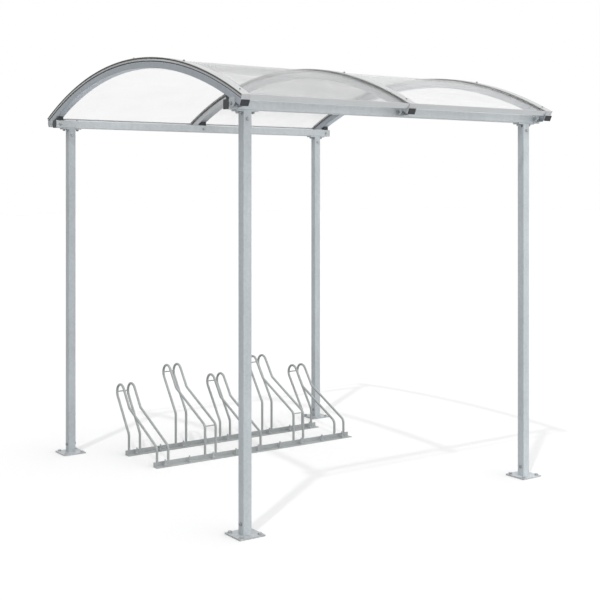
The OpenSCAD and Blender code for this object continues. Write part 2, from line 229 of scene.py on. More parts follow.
class ShelterStage(bpy.types.PropertyGroup):
    """Camera, floor and light"""

    camera_at: FloatVectorProperty(
        name="Camera", description="Where the camera stands", subtype="TRANSLATION", unit="LENGTH",
        default=(-4.043, -5.8496, 1.7598))
    heading: FloatProperty(
        name="Heading", description="Turn of the level camera about the vertical",
        subtype="ANGLE", default=math.radians(-35.287))
    lens: FloatProperty(name="Lens", description="Focal length", unit="CAMERA", default=67.04)
    lens_drop: FloatProperty(
        name="Lens drop", description="Vertical shift of the level camera", default=-0.18806)
    sun_way: FloatVectorProperty(
        name="Sun", description="Way the sunlight travels",
        subtype="DIRECTION", default=(1.07, 0.81, -2.17))
    sun_power: FloatProperty(
        name="Sun power", description="Strength of the sunlight", min=0, default=0.6)
    sun_size: FloatProperty(
        name="Sun size", description="Angle that the sun covers, which softens its shadows",
        subtype="ANGLE", default=math.radians(1.5))
    key_way: FloatVectorProperty(
        name="Bright side", description="Way towards the bright side of the studio",
        subtype="DIRECTION", default=(0.75, -0.68, 0.28))
    sky_low: FloatProperty(
        name="Dim light", description="Light from the dim side of the studio", default=0.0)
    sky_high: FloatProperty(
        name="Bright light", description="Light from the bright side of the studio", default=1.8)
    floor_half: FloatProperty(
        name="Floor", description="Half the side of the floor", unit="LENGTH", default=60)
    floor_tone: FloatProperty(
        name="Floor tone", description="Grey of the floor where it is seen",
        subtype="FACTOR", min=0, max=1, default=0.80)
    floor_bounce: FloatProperty(
        name="Floor bounce", description="Grey of the floor in the light that it throws back",
        subtype="FACTOR", min=0, max=1, default=0.30)
    floor_glow: FloatProperty(
        name="Floor glow", description="White that the floor keeps in a shadow",
        subtype="FACTOR", min=0, max=1, default=0.07)


# Small helpers for modelling with operators


def let_go():
    """Leaves edit mode and selects nothing."""
    if bpy.context.object and bpy.context.object.mode != "OBJECT":
        bpy.ops.object.mode_set(mode="OBJECT")
    bpy.ops.object.select_all(action="DESELECT")


def take(*objects):
    """Selects these objects alone, the first one active."""
    let_go()
    for obj in objects:
        obj.select_set(True)
    bpy.context.view_layer.objects.active = objects[0]


def pick_faces(obj, wanted):
    """In edit mode, selects the faces that wanted() accepts."""
    mesh = bmesh.from_edit_mesh(obj.data)
    bpy.ops.mesh.select_all(action="DESELECT")
    for face in mesh.faces:
        face.select_set(wanted(face))
    bmesh.update_edit_mesh(obj.data)


def edit_top(obj):
    """Opens the object in edit mode with its top face selected."""
    take(obj)
    bpy.ops.object.mode_set(mode="EDIT")
    bpy.ops.mesh.select_mode(type="FACE")
    pick_faces(obj, lambda face: face.normal.z > 0.9)


def raise_face(rise, scale=1.0, top=0.0):
    """Extrudes the selected face up and scales its new end about the axis."""
    bpy.ops.mesh.extrude_region_move(TRANSFORM_OT_translate={"value": (0, 0, rise)})
    if scale != 1.0:
        bpy.ops.transform.resize(value=(scale, scale, 1), center_override=(0, 0, top))


def add_prism(sides, radius, depth, z=0.0):
    """Adds an upright prism that stands at height z."""
    let_go()
    bpy.ops.mesh.primitive_cylinder_add(
        vertices=sides, radius=radius, depth=depth, location=(0, 0, z + depth / 2))
    bpy.ops.object.transform_apply(location=True, rotation=True, scale=True)
    return bpy.context.object


def soften(obj, width, segments=2, angle=0.6):
    """Rounds the sharp edges with a Bevel modifier."""
    take(obj)
    bevel = obj.modifiers.new("Soft edges", "BEVEL")
    bevel.width = width
    bevel.segments = segments
    bevel.limit_method = "ANGLE"
    bevel.angle_limit = angle
    bpy.ops.object.modifier_apply(modifier=bevel.name)
    return obj


def join(*objects):
    """Joins objects into the first one."""
    take(*objects)
    if len(objects) > 1:
        bpy.ops.object.join()
    return bpy.context.object


def washer(radius, depth):
    """Flat disc with its edges rounded by part of its thickness."""
    return soften(add_prism(28, radius, depth), 0.3 * depth)


def hex_body(across, depth, z=0.0, crown=0.0016):
    """Hexagon with its upper corners cut to a round crown."""
    obj = add_prism(6, across / math.sqrt(3), depth - crown, z)
    edit_top(obj)
    raise_face(crown, CROWN_SHARE, z + depth)
    bpy.ops.object.mode_set(mode="OBJECT")
    return soften(obj, width=0.0005, segments=1)


def threaded_stud(d, low, high, pitch=0.0018):
    """Stud with raised thread ridges and a chamfered tip."""
    root, tip = THREAD_ROOT * d, THREAD_TIP * d
    obj = add_prism(18, root, pitch / 2, low)
    edit_top(obj)
    z = low + pitch / 2
    while z < high - 2 * pitch:
        raise_face(pitch / 2, tip / root, z + pitch / 2)
        raise_face(pitch / 2, root / tip, z + pitch)
        z += pitch
    raise_face(high - z, END_SHARE, high)
    bpy.ops.object.mode_set(mode="OBJECT")
    return obj


def bolt_head(d):
    """Hex head on a washer, its face up."""
    return join(washer(HEAD_WASHER_R * d, WASHER_T * d),
                hex_body(HEAD_ACROSS * d, HEAD_H * d, WASHER_T * d))


def nut_on_stud(d, rise):
    """Nut and washer on a threaded stud."""
    return join(washer(NUT_WASHER_R * d, WASHER_T * d),
                hex_body(NUT_ACROSS * d, NUT_H * d, WASHER_T * d),
                threaded_stud(d, STUD_START * d, rise))


def bolt_ends(d):
    """Head of a bolt, and the nut at its other end."""
    return bolt_head(d), nut_on_stud(d, TAIL_RISE * d)


def roof_screw():
    """Hex head with a flange on a dished sealing washer."""
    seal_r, rim, dish, dish_share = 0.0085, 0.0018, 0.0012, 0.72
    flange_r, flange_t, round_over = 0.0058, 0.0014, 0.0004
    across, head_h, crown = 0.0085, 0.005, 0.001
    flange_z = rim + dish
    seal = add_prism(24, seal_r, rim)
    edit_top(seal)
    raise_face(dish, dish_share, flange_z)
    bpy.ops.object.mode_set(mode="OBJECT")
    flange = soften(add_prism(24, flange_r, flange_t, flange_z), round_over)
    head = hex_body(across, head_h, flange_z + flange_t, crown)
    return join(soften(seal, round_over), flange, head)


def weld_bead(radius, seed):
    """Uneven drop of weld, stretched where it is placed."""
    let_go()
    bpy.ops.mesh.primitive_uv_sphere_add(segments=16, ring_count=12, radius=radius)
    bpy.ops.object.mode_set(mode="EDIT")
    bpy.ops.mesh.select_all(action="SELECT")
    bpy.ops.transform.vertex_random(offset=0.16 * radius, uniform=0.2, normal=0.8, seed=seed)
    bpy.ops.mesh.vertices_smooth(factor=0.4)
    bpy.ops.object.mode_set(mode="OBJECT")
    return bpy.context.object


def aim(at, way=UP, spin=0.0):
    """Matrix that stands a model at a point, looking along way and turned about it."""
    turn = UP.rotation_difference(Vector(way)).to_matrix().to_4x4()
    return Matrix.Translation(Vector(at)) @ turn @ Matrix.Rotation(spin, 4, "Z")


def copies(master, name, places):
    """Copies a model to each place, each with its own mesh, as one piece."""
    made = []
    for matrix in places:
        obj = master.copy()
        obj.data = master.data.copy()
        bpy.context.collection.objects.link(obj)
        obj.data.transform(matrix)
        made.append(obj)
    piece = join(*made)
    piece.name = piece.data.name = name
    return piece


def bolt_set(head, tail, name, heads, tails):
    """One piece of bolt heads and of the nuts at their other ends."""
    piece = join(copies(head, "bolt_heads", heads), copies(tail, "bolt_nuts", tails))
    piece.name = piece.data.name = name
    return piece


def drop(*masters):
    """Deletes the models that were only copied from."""
    for obj in masters:
        bpy.data.objects.remove(obj)


def ready(piece, material):
    """Finish, smoothing and body of a new piece."""
    take(piece)
    bpy.ops.object.shade_smooth_by_angle(angle=SMOOTH_ANGLE)
    piece.data.materials.clear()
    piece.data.materials.append(material)
    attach(piece, "root")


def middle(name):
    """Centre of a CAD node's box."""
    low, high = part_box(name)
    return (low + high) / 2


def rib_xs():
    """Places of the ribs across the shelter."""
    return [middle(f"rib_{bay}").x for bay in BAYS]


# Shader groups and materials


def new_group(name, inputs, outputs):
    """Starts a node group from inputs {name: (socket type, default)} and outputs {name: type}."""
    tree = bpy.data.node_groups.new(name, "ShaderNodeTree")
    for label, (kind, value) in inputs.items():
        socket = tree.interface.new_socket(label, in_out="INPUT", socket_type=kind)
        if value is not None:
            socket.default_value = value
    for label, kind in outputs.items():
        tree.interface.new_socket(label, in_out="OUTPUT", socket_type=kind)
    return tree, tree.nodes.new("NodeGroupInput"), tree.nodes.new("NodeGroupOutput")


def node(tree, kind, settings=None, values=None, links=None):
    """Adds a node with its settings, socket values and incoming links."""
    made = tree.nodes.new(kind)
    for key, value in (settings or {}).items():
        setattr(made, key, value)
    for key, value in (values or {}).items():
        made.inputs[key].default_value = value
    for key, socket in (links or {}).items():
        tree.links.new(socket, made.inputs[key])
    return made


def math_node(tree, operation, first, second=0.0, clamp=False):
    """Adds a Math node on numbers or sockets and gives its result."""
    made = tree.nodes.new("ShaderNodeMath")
    made.operation = operation
    made.use_clamp = clamp
    for i, value in enumerate((first, second)):
        if isinstance(value, (int, float)):
            made.inputs[i].default_value = value
        else:
            tree.links.new(value, made.inputs[i])
    return made.outputs[0]


def spread(tree, value, low, high, from_low=0.0, from_high=1.0):
    """Maps a value onto a new range, within its ends."""
    ends = {"From Min": from_low, "From Max": from_high, "To Min": low, "To Max": high}
    return node(tree, "ShaderNodeMapRange", {"clamp": True}, ends, {"Value": value}).outputs[0]


def noise(tree, place, **values):
    """Adds a Noise texture and gives its value."""
    return node(tree, "ShaderNodeTexNoise", None, values, {"Vector": place}).outputs[0]


def part_of(tree, vector, axis):
    """One coordinate of a vector."""
    return node(tree, "ShaderNodeSeparateXYZ", None, None, {0: vector}).outputs[axis]


def shade(tree, colour, tone):
    """Multiplies a colour by a tone."""
    return node(tree, "ShaderNodeVectorMath", {"operation": "SCALE"}, None,
                {0: colour, "Scale": tone}).outputs[0]


def zinc_group():
    """Hot-dip zinc: crystal spangle, dull blotches and long runs."""
    tree, given, out = new_group(
        "Zinc coat",
        {"Vector": ("NodeSocketVector", None), "Color": ("NodeSocketColor", (0.6, 0.6, 0.6, 1)),
         "Crystals": ("NodeSocketFloat", 80.0), "Contrast": ("NodeSocketFloat", 0.12),
         "Drift": ("NodeSocketVector", (0.0, 0.0, 0.0))},
        {"Color": "NodeSocketColor", "Roughness": "NodeSocketFloat", "Height": "NodeSocketFloat"})
    place = given.outputs["Vector"]
    warp = node(tree, "ShaderNodeTexNoise", None, {"Scale": 45.0, "Detail": 2.0}, {"Vector": place})
    bent = node(tree, "ShaderNodeVectorMath", {"operation": "MULTIPLY_ADD"},
                {1: (0.006, 0.006, 0.006)}, {0: warp.outputs["Color"], 2: place})
    crystal = node(tree, "ShaderNodeTexVoronoi", {"feature": "F1"}, {"Randomness": 1.0},
                   {"Vector": bent.outputs[0], "Scale": given.outputs["Crystals"]})
    facet = node(tree, "ShaderNodeSeparateColor", None, None,
                 {0: crystal.outputs["Color"]}).outputs[0]
    blotch = noise(tree, place, Scale=2.2, Detail=4.0, Roughness=0.55)
    long = node(tree, "ShaderNodeMapping", None, {"Scale": (38.0, 38.0, 1.6)}, {"Vector": place})
    runs = noise(tree, long.outputs[0], Scale=1.0, Detail=3.0)
    fine = noise(tree, place, Scale=420.0, Detail=2.0)
    lift = math_node(tree, "SUBTRACT", facet, 0.5)
    lift = math_node(tree, "ADD", lift, spread(tree, blotch, -1.1, 1.1, *WIDE_NOISE))
    lift = math_node(tree, "ADD", lift, spread(tree, runs, -0.45, 0.45, *WIDE_NOISE))
    drift = node(tree, "ShaderNodeVectorMath", {"operation": "DOT_PRODUCT"}, None,
                 {0: place, 1: given.outputs["Drift"]}).outputs["Value"]
    tone = math_node(tree, "MULTIPLY_ADD", lift, given.outputs["Contrast"])
    tree.links.new(math_node(tree, "ADD", drift, 1.0), tone.node.inputs[2])
    tree.links.new(shade(tree, given.outputs["Color"], tone), out.inputs["Color"])
    rough = math_node(tree, "ADD", spread(tree, facet, 0.36, 0.52),
                      spread(tree, blotch, -0.06, 0.08, *CORE_NOISE))
    tree.links.new(rough, out.inputs["Roughness"])
    height = math_node(tree, "ADD", spread(tree, fine, 0.0, 0.35), spread(tree, facet, 0.0, 0.3))
    tree.links.new(height, out.inputs["Height"])
    return tree


def grain_group():
    """Moulded grain with a dusty bloom for plastic and rubber."""
    tree, given, out = new_group(
        "Moulded grain",
        {"Vector": ("NodeSocketVector", None), "Color": ("NodeSocketColor", (0.05, 0.05, 0.05, 1)),
         "Grain": ("NodeSocketFloat", 900.0), "Dust": ("NodeSocketFloat", 0.35)},
        {"Color": "NodeSocketColor", "Roughness": "NodeSocketFloat", "Height": "NodeSocketFloat"})
    place = given.outputs["Vector"]
    pits = node(tree, "ShaderNodeTexVoronoi", {"feature": "SMOOTH_F1"}, {"Smoothness": 0.6},
                {"Vector": place, "Scale": given.outputs["Grain"]}).outputs["Distance"]
    bloom = noise(tree, place, Scale=26.0, Detail=4.0)
    dust = spread(tree, bloom, -0.4, 1.0, 0.3, 0.75)
    lift = math_node(tree, "MULTIPLY", dust, given.outputs["Dust"])
    tone = math_node(tree, "ADD", lift, 1.0)
    tree.links.new(shade(tree, given.outputs["Color"], tone), out.inputs["Color"])
    tree.links.new(spread(tree, bloom, 0.48, 0.72, *CORE_NOISE), out.inputs["Roughness"])
    tree.links.new(pits, out.inputs["Height"])
    return tree


def drawn_group():
    """Fine lines left by drawing, along X or along the arch, for extruded aluminium."""
    tree, given, out = new_group(
        "Drawn lines",
        {"Vector": ("NodeSocketVector", None), "Color": ("NodeSocketColor", (0.6, 0.6, 0.6, 1)),
         "Stretch": ("NodeSocketVector", (1.0, 1.0, 1.0)), "Contrast": ("NodeSocketFloat", 0.1)},
        {"Color": "NodeSocketColor", "Roughness": "NodeSocketFloat", "Height": "NodeSocketFloat"})
    pulled = node(tree, "ShaderNodeVectorMath", {"operation": "MULTIPLY"}, None,
                  {0: given.outputs["Vector"], 1: given.outputs["Stretch"]}).outputs[0]
    lines = noise(tree, pulled, Scale=1.0, Detail=3.0)
    cloud = noise(tree, given.outputs["Vector"], Scale=5.0, Detail=3.0)
    lift = math_node(tree, "ADD", spread(tree, lines, -1.0, 1.0, *WIDE_NOISE),
                     spread(tree, cloud, -0.7, 0.7, *WIDE_NOISE))
    tone = math_node(tree, "MULTIPLY_ADD", lift, given.outputs["Contrast"])
    tone.node.inputs[2].default_value = 1.0
    tree.links.new(shade(tree, given.outputs["Color"], tone), out.inputs["Color"])
    tree.links.new(spread(tree, lines, 0.28, 0.46, *WIDE_NOISE), out.inputs["Roughness"])
    tree.links.new(lines, out.inputs["Height"])
    return tree


GROUPS = {"Zinc coat": zinc_group, "Moulded grain": grain_group, "Drawn lines": drawn_group}


def group_named(name):
    """Shader group of that name, built on first use."""
    return bpy.data.node_groups.get(name) or GROUPS[name]()


def start_material(name):
    """Empty material with a Principled shader and Object coordinates."""
    made = bpy.data.materials.new(name)
    made.use_nodes = True
    tree = made.node_tree
    shader = next(n for n in tree.nodes if n.type == "BSDF_PRINCIPLED")
    return made, tree, shader, tree.nodes.new("ShaderNodeTexCoord")


class Coat(NamedTuple):
    """What a finish is made of"""

    group: str
    colour: str
    metallic: float
    relief: tuple
    values: dict
    # Share of its colour that a face towards X keeps: painted shade on the sides
    side_shade: float = 1.0


# Strength of the relief on each kind of surface, and its height in metres
ROLLED, DIPPED, PLATED = (0.12, 0.0006), (0.2, 0.0006), (0.1, 0.0003)
DRAWN, MOULDED, PRESSED = (0.08, 0.0003), (0.25, 0.0003), (0.3, 0.0004)
# How close drawn lines lie in each direction, on profiles along X and on strips along the arch
ALONG_X, ALONG_ARCH = (3, 700, 700), (700, 3, 3)
RUBBER_GRAIN = {"Grain": 500.0, "Dust": 0.6}

# Crystals are counted over one spangle size, and faces towards X keep the share of their colour
# that the coat gives them, as painted shade
COATS = {
    "Frame zinc": Coat("Zinc coat", "frame_zinc", 0.15, ROLLED,
                       {"Crystals": 1.0, "Contrast": 0.10, "Drift": (0.05, -0.06, 0)}),
    # Painted light against the eaves' shade
    "Beam zinc": Coat("Zinc coat", "beam_zinc", 0.15, ROLLED,
                      {"Crystals": 1.0, "Contrast": 0.08, "Drift": (0, -0.06, 0)}),
    # Painted light in the bright colour, painted shade on the sides
    "Rib zinc": Coat("Zinc coat", "rib_zinc", 0.15, ROLLED,
                     {"Crystals": 1.0, "Contrast": 0.10}, side_shade=0.57),
    "Light rib zinc": Coat("Zinc coat", "light_rib_zinc", 0.15, ROLLED,
                           {"Crystals": 1.0, "Contrast": 0.10}),
    "Plate zinc": Coat("Zinc coat", "plate_zinc", 0.15, DIPPED,
                       {"Crystals": 1.3, "Contrast": 0.28}),
    "Rack zinc": Coat("Zinc coat", "rack_zinc", 0.15, DIPPED, {"Crystals": 1.6, "Contrast": 0.14}),
    "Bolt zinc": Coat("Zinc coat", "bolt_zinc", 0.4, PLATED, {"Crystals": 4.0, "Contrast": 0.12}),
    "Dark bolt": Coat("Zinc coat", "dark_bolt", 0.3, PLATED, {"Crystals": 4.0, "Contrast": 0.12}),
    "Eave aluminium": Coat("Drawn lines", "aluminium", 0.85, DRAWN,
                           {"Stretch": ALONG_X, "Contrast": 0.06}),
    "Pale aluminium": Coat("Drawn lines", "pale_aluminium", 0.1, DRAWN,
                           {"Stretch": ALONG_X, "Contrast": 0.06}),
    # Both strips have painted shade on their sides; the left strip's sides are darkened much more,
    # standing in for their shade
    "Strip aluminium": Coat("Drawn lines", "strip", 0.5, DRAWN,
                            {"Stretch": ALONG_ARCH, "Contrast": 0.07}, side_shade=0.95),
    "Grimy strip": Coat("Drawn lines", "strip", 0.5, DRAWN,
                        {"Stretch": ALONG_ARCH, "Contrast": 0.07}, side_shade=0.3),
    "Black plastic": Coat("Moulded grain", "plastic", 0.0, MOULDED, {"Grain": 900.0, "Dust": 0.5}),
    "Gasket rubber": Coat("Moulded grain", "rubber", 0.0, PRESSED, RUBBER_GRAIN),
    "Dusty rubber": Coat("Moulded grain", "dusty_rubber", 0.0, PRESSED, RUBBER_GRAIN),
    "Grey rubber": Coat("Moulded grain", "grey_rubber", 0.0, PRESSED, RUBBER_GRAIN),
}


def coated(name, coat, look):
    """Material with its colour, roughness and relief from one group, with painted shade on faces
    towards X where the coat asks for it.
    """
    made, tree, shader, coords = start_material(name)
    values = {**coat.values, "Color": getattr(look, coat.colour)}
    if "Crystals" in values:
        values["Crystals"] /= look.spangle
    layer = node(tree, "ShaderNodeGroup", {"node_tree": group_named(coat.group)}, values,
                 {"Vector": coords.outputs["Object"]})
    strength, height = coat.relief
    relief = node(tree, "ShaderNodeBump", None, {"Strength": strength, "Distance": height},
                  {"Height": layer.outputs["Height"]})
    colour = layer.outputs["Color"]
    # Painted shade: faces towards X are darkened
    if coat.side_shade < 1.0:
        across = math_node(tree, "ABSOLUTE", part_of(tree, coords.outputs["Normal"], "X"))
        colour = shade(tree, colour, spread(tree, across, 1.0, coat.side_shade, 0.3, 0.8))
    tree.links.new(colour, shader.inputs["Base Color"])
    tree.links.new(layer.outputs["Roughness"], shader.inputs["Roughness"])
    tree.links.new(relief.outputs[0], shader.inputs["Normal"])
    shader.inputs["Metallic"].default_value = coat.metallic
    made.diffuse_color = values["Color"]
    return made


def clear_sheet(name, tint, pitch, straight, slant, start, front=0.0):
    """Hollow-chamber sheet: clear seen straight on, veiled at a slant, with pale sealed edges.

    straight and slant are what one face hides in those views, start is the slant where the veil
    begins, and front is what a dusty front slope hides.
    """
    made, tree, shader, coords = start_material(name)
    place = coords.outputs["Object"]
    full_slant, edge_cover, shade_share = 0.78, 0.85, 0.15
    film_y, clear_y = (-0.60, -0.10), (0.05, 0.25)
    # A wave texture of scale 1 has a length of 2 pi / 20
    waves = 2 * math.pi / (20 * pitch)
    webs = node(tree, "ShaderNodeTexWave", {"bands_direction": "X", "wave_profile": "SIN"},
                {"Scale": waves, "Distortion": 0.0}, {"Vector": place}).outputs["Fac"]
    webs = spread(tree, webs, 0.0, 1.0, 0.55, 1.0)
    haze = noise(tree, place, Scale=6.0, Detail=4.0)
    aslant = node(tree, "ShaderNodeLayerWeight", None, {"Blend": 0.35}).outputs["Facing"]
    cover = spread(tree, aslant, straight, slant, start, full_slant)
    if front > 0:
        depth = part_of(tree, place, "Y")
        cover = math_node(tree, "MULTIPLY", cover, spread(tree, depth, 1.0, 0.0, *clear_y))
        film = spread(tree, depth, front, straight, *film_y)
        cover = math_node(tree, "MAXIMUM", cover, film)
    # The webs hide more than the chambers between them
    cover = math_node(tree, "MULTIPLY", cover, spread(tree, webs, 0.7, 1.9), clamp=True)
    cover = math_node(tree, "ADD", cover, spread(tree, webs, 0.0, 0.05), clamp=True)
    cover = math_node(tree, "MULTIPLY", cover, spread(tree, haze, 0.85, 1.15, *CORE_NOISE))
    sideways = math_node(tree, "ABSOLUTE", part_of(tree, coords.outputs["Normal"], "X"))
    edge = math_node(tree, "GREATER_THAN", sideways, 0.9)
    cover = math_node(tree, "MAXIMUM", cover, math_node(tree, "MULTIPLY", edge, edge_cover))
    # The veil throws hardly any shade
    path = node(tree, "ShaderNodeLightPath").outputs
    lit = math_node(tree, "MAXIMUM", path["Is Shadow Ray"], path["Is Diffuse Ray"])
    cover = math_node(tree, "MULTIPLY", cover, spread(tree, lit, 1.0, shade_share))
    tree.links.new(cover, shader.inputs["Alpha"])
    tone = math_node(tree, "ADD", spread(tree, webs, 1.03, 0.88), spread(tree, edge, 0.0, 0.45))
    veil = node(tree, "ShaderNodeVectorMath", {"operation": "SCALE"},
                {0: tint[:3]}, {"Scale": tone})
    tree.links.new(veil.outputs[0], shader.inputs["Base Color"])
    tree.links.new(spread(tree, haze, 0.16, 0.30), shader.inputs["Roughness"])
    shader.inputs["IOR"].default_value = 1.58
    made.diffuse_color = (*tint[:3], 0.35)
    return made


def finish_named(name):
    """Material of that name, built from the scene's settings on first use."""
    found = bpy.data.materials.get(name)
    if found:
        return found
    look = bpy.context.scene.shelter_finishes
    if name == "Clear sheet":
        return clear_sheet(name, look.sheet, look.flute_pitch,
                           straight=0.045, slant=look.sheet_veil, start=0.45)
    if name == "Dusty sheet":
        return clear_sheet(name, look.dusty, look.flute_pitch,
                           straight=0.035, slant=look.dusty_veil, start=0.60,
                           front=look.dusty_front)
    if name in COATS:
        return coated(name, COATS[name], look)
    raise ValueError(f"there is no finish named {name}")


def dress(nodes, finish):
    """Puts one finish on CAD nodes, which keep their meshes."""
    material = finish_named(finish)
    for name in nodes:
        obj = frame["nodes"][name]
        if not obj.material_slots:
            obj.data.materials.append(material)
        for place in obj.material_slots:
            place.material = material


# Operators


class SHELTER_OT_frame_finish(bpy.types.Operator):
    """Coats the posts, feet, heads, beams, ribs and shoes with zinc"""

    bl_idname = "shelter.frame_finish"
    bl_label = "Coat the frame"

    def execute(self, context):
        frame_nodes = [f"{part}_{corner}" for part in ("post", "head") for corner in CORNERS]
        frame_nodes += [f"{side}_rib_shoes" for side in SIDES]
        dress(frame_nodes, "Frame zinc")
        dress([f"foot_{corner}" for corner in CORNERS], "Plate zinc")
        dress([f"{side}_beam" for side in SIDES], "Beam zinc")
        dress(["rib_left", "rib_right"], "Rib zinc")
        # The middle rib's lighter zinc is painted light
        dress(["rib_middle"], "Light rib zinc")
        return {"FINISHED"}


class SHELTER_OT_cap_finish(bpy.types.Operator):
    """Gives the end caps and rib wedges their black plastic"""

    bl_idname = "shelter.cap_finish"
    bl_label = "Finish the caps"

    def execute(self, context):
        parts = ("beam_caps", "rib_caps", "rib_wedges")
        dress([f"{side}_{part}" for side in SIDES for part in parts], "Black plastic")
        return {"FINISHED"}


class SHELTER_OT_roof_finish(bpy.types.Operator):
    """Finishes the sheets, gaskets, cover strips and eave profiles"""

    bl_idname = "shelter.roof_finish"
    bl_label = "Finish the roof"

    def execute(self, context):
        dress(["sheet_left"], "Dusty sheet")
        dress(["sheet_right"], "Clear sheet")
        dress(["under_gasket_left", "over_gasket_left"], "Gasket rubber")
        dress([f"under_gasket_{bay}" for bay in BAYS[1:]], "Grey rubber")
        dress([f"over_gasket_{bay}" for bay in BAYS[1:]], "Dusty rubber")
        # The left cover strip's dark sides are painted shade
        dress(["cover_strip_left"], "Grimy strip")
        dress([f"cover_strip_{bay}" for bay in BAYS[1:]], "Strip aluminium")
        dress(["front_eaves"], "Eave aluminium")
        # The back eaves' pale colour is painted light
        dress(["back_eaves"], "Pale aluminium")
        return {"FINISHED"}


class SHELTER_OT_rack_finish(bpy.types.Operator):
    """Coats the rails and wheel holders with duller zinc"""

    bl_idname = "shelter.rack_finish"
    bl_label = "Coat the rack"

    def execute(self, context):
        dress(["rack_front_rail", "rack_back_rail", *HOLDERS], "Rack zinc")
        return {"FINISHED"}


class SHELTER_OT_foot_anchors(bpy.types.Operator):
    """Sets four low anchor heads on each foot plate"""

    bl_idname = "shelter.foot_anchors"
    bl_label = "Set the foot anchors"

    def execute(self, context):
        sizes = context.scene.shelter_fasteners
        mounts = {m["name"]: m for m in frame["record"]["mounts"]}
        master = bolt_head(sizes.anchor_d)
        for i, corner in enumerate(CORNERS):
            mount = mounts[f"foot_anchors_{corner}"]
            half_x = mount["dims"]["spacing_x_mm"] / 2000
            half_y = mount["dims"]["spacing_y_mm"] / 2000
            x, y, z = mount["pos_m"]
            places = []
            for j, (sx, sy) in enumerate(((-1, -1), (1, -1), (-1, 1), (1, 1))):
                at = (x + sx * half_x, y + sy * half_y, z + sizes.plate_t)
                places.append(aim(at, spin=0.35 + 0.9 * i + 1.7 * j))
            piece = copies(master, f"anchors_{corner}", places)
            ready(piece, finish_named("Bolt zinc"))
        drop(master)
        return {"FINISHED"}


class SHELTER_OT_post_bolts(bpy.types.Operator):
    """Bolts each post to the spigots in its foot and head"""

    bl_idname = "shelter.post_bolts"
    bl_label = "Bolt the posts"

    def execute(self, context):
        sizes = context.scene.shelter_fasteners
        head, tail = bolt_ends(sizes.bolt_d)
        foot_z, head_z = sizes.foot_bolt_z, sizes.head_bolt_z
        for i, corner in enumerate(CORNERS):
            low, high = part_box(f"post_{corner}")
            axis = middle(f"post_{corner}")
            heads = [aim((low.x, axis.y, foot_z), (-1, 0, 0), spin=0.4 + i),
                     aim((axis.x, low.y, head_z), (0, -1, 0), spin=0.2 + i)]
            tails = [aim((high.x, axis.y, foot_z), (1, 0, 0), spin=0.9 + i),
                     aim((axis.x, high.y, head_z), (0, 1, 0), spin=i)]
            piece = bolt_set(head, tail, f"post_bolts_{corner}", heads, tails)
            ready(piece, finish_named("Bolt zinc"))
            # The foot bolts take the darker bolt colour, which is painted shade
            piece.data.materials.append(finish_named("Dark bolt"))
            for face in piece.data.polygons:
                face.material_index = int(face.center.z < head_z / 2)
        drop(head, tail)
        return {"FINISHED"}


class SHELTER_OT_beam_bolts(bpy.types.Operator):
    """Bolts each beam down onto the head plates"""

    bl_idname = "shelter.beam_bolts"
    bl_label = "Bolt the beams"

    def execute(self, context):
        sizes = context.scene.shelter_fasteners
        head, tail = bolt_ends(sizes.bolt_d)
        for i, corner in enumerate(CORNERS):
            axis = middle(f"post_{corner}")
            low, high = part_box(f"{corner.split('_')[0]}_beam")
            under = low.z - sizes.head_plate_t
            heads, tails = [], []
            for sx in (-1, 1):
                x = axis.x + sx * sizes.head_bolt_reach
                heads.append(aim((x, axis.y, high.z), spin=0.3 + i + sx))
                tails.append(aim((x, axis.y, under), (0, 0, -1), spin=0.7 + i + sx))
            piece = bolt_set(head, tail, f"beam_bolts_{corner}", heads, tails)
            ready(piece, finish_named("Bolt zinc"))
        drop(head, tail)
        return {"FINISHED"}


class SHELTER_OT_rib_bolts(bpy.types.Operator):
    """Bolts the ribs into their shoes and the shoes to the beams"""

    bl_idname = "shelter.rib_bolts"
    bl_label = "Bolt the ribs"

    def execute(self, context):
        sizes = context.scene.shelter_fasteners
        head, tail = bolt_ends(sizes.bolt_d)
        xs = rib_xs()
        for side, out in zip(SIDES, (-1, 1)):
            low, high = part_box(f"{side}_beam")
            face, back = (low.y, high.y) if out < 0 else (high.y, low.y)
            shoe_low, shoe_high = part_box(f"{side}_rib_shoes")
            half_shoe = (shoe_high.x - shoe_low.x - (xs[-1] - xs[0])) / 2
            mid_z = (low.z + high.z) / 2
            heads, tails = [], []
            for i, x in enumerate(xs):
                y = face + out * sizes.shoe_bolt_out
                heads.append(aim((x - half_shoe, y, sizes.shoe_bolt_z), (-1, 0, 0), spin=0.5 + i))
                tails.append(aim((x + half_shoe, y, sizes.shoe_bolt_z), (1, 0, 0), spin=0.1 + i))
                heads.append(aim((x, face + out * sizes.web_t, mid_z), (0, out, 0), spin=0.2 + i))
                tails.append(aim((x, back, mid_z), (0, -out, 0), spin=0.8 + i))
            piece = bolt_set(head, tail, f"rib_bolts_{side}", heads, tails)
            # The front bolts take the darker bolt colour, which is painted shade
            finish = "Bolt zinc" if side == "back" else "Dark bolt"
            ready(piece, finish_named(finish))
        drop(head, tail)
        return {"FINISHED"}


class SHELTER_OT_strip_screws(bpy.types.Operator):
    """Screws the cover strips down through the gaskets"""

    bl_idname = "shelter.strip_screws"
    bl_label = "Screw the cover strips"

    def execute(self, context):
        sizes = context.scene.shelter_fasteners
        master = roof_screw()
        for bay in BAYS:
            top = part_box(f"cover_strip_{bay}")[1].z
            x = middle(f"cover_strip_{bay}").x
            places = []
            for i in range(sizes.strip_screws):
                angle = (i - (sizes.strip_screws - 1) / 2) * sizes.strip_step
                out = Vector((0, math.sin(angle), math.cos(angle)))
                at = Vector((x, 0, top - sizes.strip_radius)) + sizes.strip_radius * out
                places.append(aim(at, out, spin=0.4 * i))
            piece = copies(master, f"strip_screws_{bay}", places)
            # The screws take the darker bolt colour, which is painted shade
            ready(piece, finish_named("Dark bolt"))
        drop(master)
        return {"FINISHED"}


